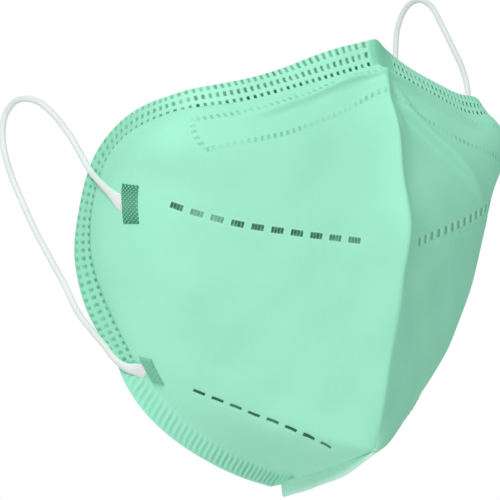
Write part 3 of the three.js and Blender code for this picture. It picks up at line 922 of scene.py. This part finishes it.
def casingFinish():
    finish = Finish("wire casing", roughness=0.82, specular_ior_level=0.25)
    x, y, _ = finish.attribute("lay")
    base, height = nonwoven(finish, clothColours["light"], clothColours["deep"], (x, y))
    along, inward, _ = finish.attribute("edge")
    tick = 1 - abs((along / casing["tickPitch"]).fraction() - 0.5).rising(0.13, 0.27)
    tick = (tick * (1 - inward.rising(casing["tickLength"] - 0.5, casing["tickLength"]))
            * inward.rising(0.1, 0.5))
    patchy = finish.noise(90, 2).rising(0.36, 0.66) * 0.85 + 0.2
    tick = tick * patchy
    finish.set("Base Color", finish.blend(tick * 0.45, base, colour(86, 166, 130)))
    finish.bump(height * 0.12 - tick * 0.8, 0.25 * mm, 0.7)
    return finish.material


def makeCasing():
    share = np.linspace(0, 1, casing["rows"] + 1)
    upper = alongPoints(casing["upper"], share)
    lower = alongPoints(casing["lower"], share)
    t = np.linspace(0, 1, casing["across"] + 1)[None, :]
    u = upper[:, :1] + (lower[:, :1] - upper[:, :1]) * t
    v = upper[:, 1:] + (lower[:, 1:] - upper[:, 1:]) * t
    flat = clothPoint(u, v)
    acrossRun = lengthsAlong(flat, 1)
    width = acrossRun[:, -1:]
    alongRun = lengthsAlong(flat, 0)
    fromEnd = alongRun[-1:] - alongRun
    near = np.stack([acrossRun, width - acrossRun, fromEnd], axis=0)
    inward = near.min(axis=0)
    edgeAlong = np.where(near.argmin(axis=0) == 2, acrossRun, alongRun)   # the third edge is its end
    rounded = smooth(inward, -0.4 * mm, 2.0 * mm)
    wire = (casing["wire"] * np.exp(-((t - casing["wirePlace"]) / casing["wireWidth"]) ** 2)
            * (1 - smooth(share, 0.55, 0.75))[:, None])
    lift = (casing["lift"] + wire) * rounded
    lay = np.stack(np.broadcast_arrays(alongRun / mm, acrossRun / mm, 0.0), axis=-1).transpose(1, 0, 2)
    edge = np.stack([edgeAlong / mm, inward / mm, 0 * inward], axis=-1).transpose(1, 0, 2)
    faces = []
    for height in (lift, -0.3 * mm):
        halves = {side: clothPoint(u, v, height, side).transpose(1, 0, 2) for side in ("right", "left")}
        for half in halves.values():
            half[:, 0, 0] = 0
        faces.append(joined(**halves))
    made = bodyObject("noseWireCasing", *faces, [casingFinish()],
                      {"lay": joined(lay, lay), "edge": joined(edge, edge)}, 70)
    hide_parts("nose_wire_casing")
    return made


noseCasing = makeCasing()
print("casing made")

# Knurled welds over the loop ends: corners as shares across and up
welds = {
    "Upper": {"corners": [(0.833, 0.657), (0.753, 0.665), (0.807, 0.603), (0.733, 0.609)],
              "pitch": 1.25, "depth": 0.3 * mm, "shade": 0.85},
    "Lower": {"corners": [(0.955, 0.425), (0.889, 0.412), (0.985, 0.375), (0.930, 0.360)],
              "pitch": 1.5, "depth": 0.05 * mm, "shade": 0.08},
    "steps": 48, "lift": 0.8 * mm,
}


def weldFinish(kind):
    weld = welds[kind]
    finish, base, height, x, y, press = pressedFinish(
        "knurled weld " + kind.lower(), colour(150, 222, 192), colour(120, 194, 163))
    turn = 2 * math.pi / weld["pitch"] / 2
    knurl = abs(((x + y) * turn).cosine()) * abs(((x - y) * turn).cosine())
    pits = knurl.rising(0.15, 0.75)
    shade = (1 - pits) * weld["shade"] * press + 0.15
    finish.set("Base Color", finish.blend(shade, base, colour(46, 122, 92)))
    finish.bump(pits, 0.3 * mm, 0.5)
    return finish.material


def makeWeld(kind, side, finish):
    weld = welds[kind]
    a, b, c, d = (np.array(corner) for corner in weld["corners"])
    down = np.linspace(0, 1, welds["steps"] + 1)[:, None]
    right = np.linspace(0, 1, welds["steps"] + 1)[None, :]
    place = ((a + (b - a) * right[..., None]) * (1 - down[..., None])
             + (c + (d - c) * right[..., None]) * down[..., None])
    u, v = place[..., 0], place[..., 1]
    flat = clothPoint(u, v)
    x, y = lengthsAlong(flat, 1) / mm, lengthsAlong(flat, 0) / mm
    edge = np.minimum(np.minimum(x, x[:, -1:] - x), np.minimum(y, y[-1:] - y))
    rounded = smooth(edge, -0.1, 0.6)
    turn = 2 * math.pi / weld["pitch"] / 2
    knurl = np.abs(np.cos((x + y) * turn)) * np.abs(np.cos((x - y) * turn))
    lift = welds["lift"] * rounded + weld["depth"] * (smooth(knurl, 0.15, 0.75) - 1) * rounded
    ends = 0.4 + 0.6 * np.abs(2 * down - 1) ** 1.5 + 0 * right
    top, bottom = clothPoint(u, v, lift, side), clothPoint(u, v, -0.3 * mm, side)
    made = bodyObject(f"weldPatch{kind}{side.title()}", top, bottom, [finish],
                      {"lay": np.stack([x, y, ends], axis=-1)}, 70)
    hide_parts(f"weld_patch_{kind.lower()}_{side}")
    return made


patches = []
for kind in ("Upper", "Lower"):
    finish = weldFinish(kind)
    patches += [makeWeld(kind, side, finish) for side in ("right", "left")]
print("welds made")

area = sum(face.area for face in shellCloth.data.polygons) / 2
print("cloth area", round(area, 5), "square metres")

# Lamps round the mask, by azimuth and elevation, and a pale green sky that the camera sees as white
light = {"key": {"azimuth": -50, "elevation": 35, "distance": 1.2, "size": 0.5, "power": 7.6},
         "fill": {"azimuth": -64, "elevation": -36, "distance": 1.2, "size": 0.9, "power": 1.4},
         "back": {"azimuth": 165, "elevation": 25, "distance": 1.2, "size": 0.7, "power": 5.0}}
sky = {"strength": 0.5, "colour": (0.78, 1.0, 0.925, 1)}


def makeLamp(name, place):
    data = bpy.data.lights.new(name, "AREA")
    data.shape, data.size, data.energy = "DISK", place["size"], place["power"]
    turn, rise = math.radians(place["azimuth"]), math.radians(place["elevation"])
    back = Vector((math.sin(turn) * math.cos(rise), -math.cos(turn) * math.cos(rise), math.sin(rise)))
    lamp = bpy.data.objects.new(name, data)
    lamp.location = Vector(camera["target"]) + back * place["distance"]
    lamp.rotation_euler = (-back).to_track_quat("-Z", "Y").to_euler()
    bpy.context.scene.collection.objects.link(lamp)


def makeSky(place):
    world = bpy.data.worlds.new("studio")
    nodes = Nodes(world)
    soft = nodes.add("ShaderNodeBackground", {}, {"Color": place["colour"], "Strength": place["strength"]})
    white = nodes.add("ShaderNodeBackground", {}, {"Color": (1, 1, 1, 1), "Strength": 1.0})
    seen = nodes.add("ShaderNodeLightPath", {}, {}, "Is Camera Ray")
    mixed = nodes.add("ShaderNodeMixShader", {}, [seen, soft, white])
    nodes.add("ShaderNodeOutputWorld", {}, {"Surface": mixed})
    bpy.context.scene.world = world


# The floor lies far below the mask, as it does under a wearer, so that low views stay clear
floor = {"level": -1.3, "reach": 1.5, "corners": 96, "shade": (255, 240, 247), "glow": 0.25}


def makeFloor(place):
    finish = Finish("pale floor", base_color=colour(*place["shade"]), roughness=0.9, specular_ior_level=0.1,
                    emission_color=(1, 1, 1, 1), emission_strength=place["glow"])
    turns = np.linspace(0, 2 * math.pi, place["corners"], endpoint=False)
    points = np.stack([place["reach"] * np.cos(turns), place["reach"] * np.sin(turns),
                       place["level"] + 0 * turns], axis=-1)
    mesh = bpy.data.meshes.new("floor")
    mesh.from_pydata(points.tolist(), [], [list(range(place["corners"]))])
    mesh.materials.append(finish.material)
    made = bpy.data.objects.new("floor", mesh)
    bpy.context.scene.collection.objects.link(made)


for name, place in light.items():
    makeLamp(name, place)
makeSky(sky)
makeFloor(floor)
bpy.context.scene.view_settings.view_transform = "Standard"
print("studio made")
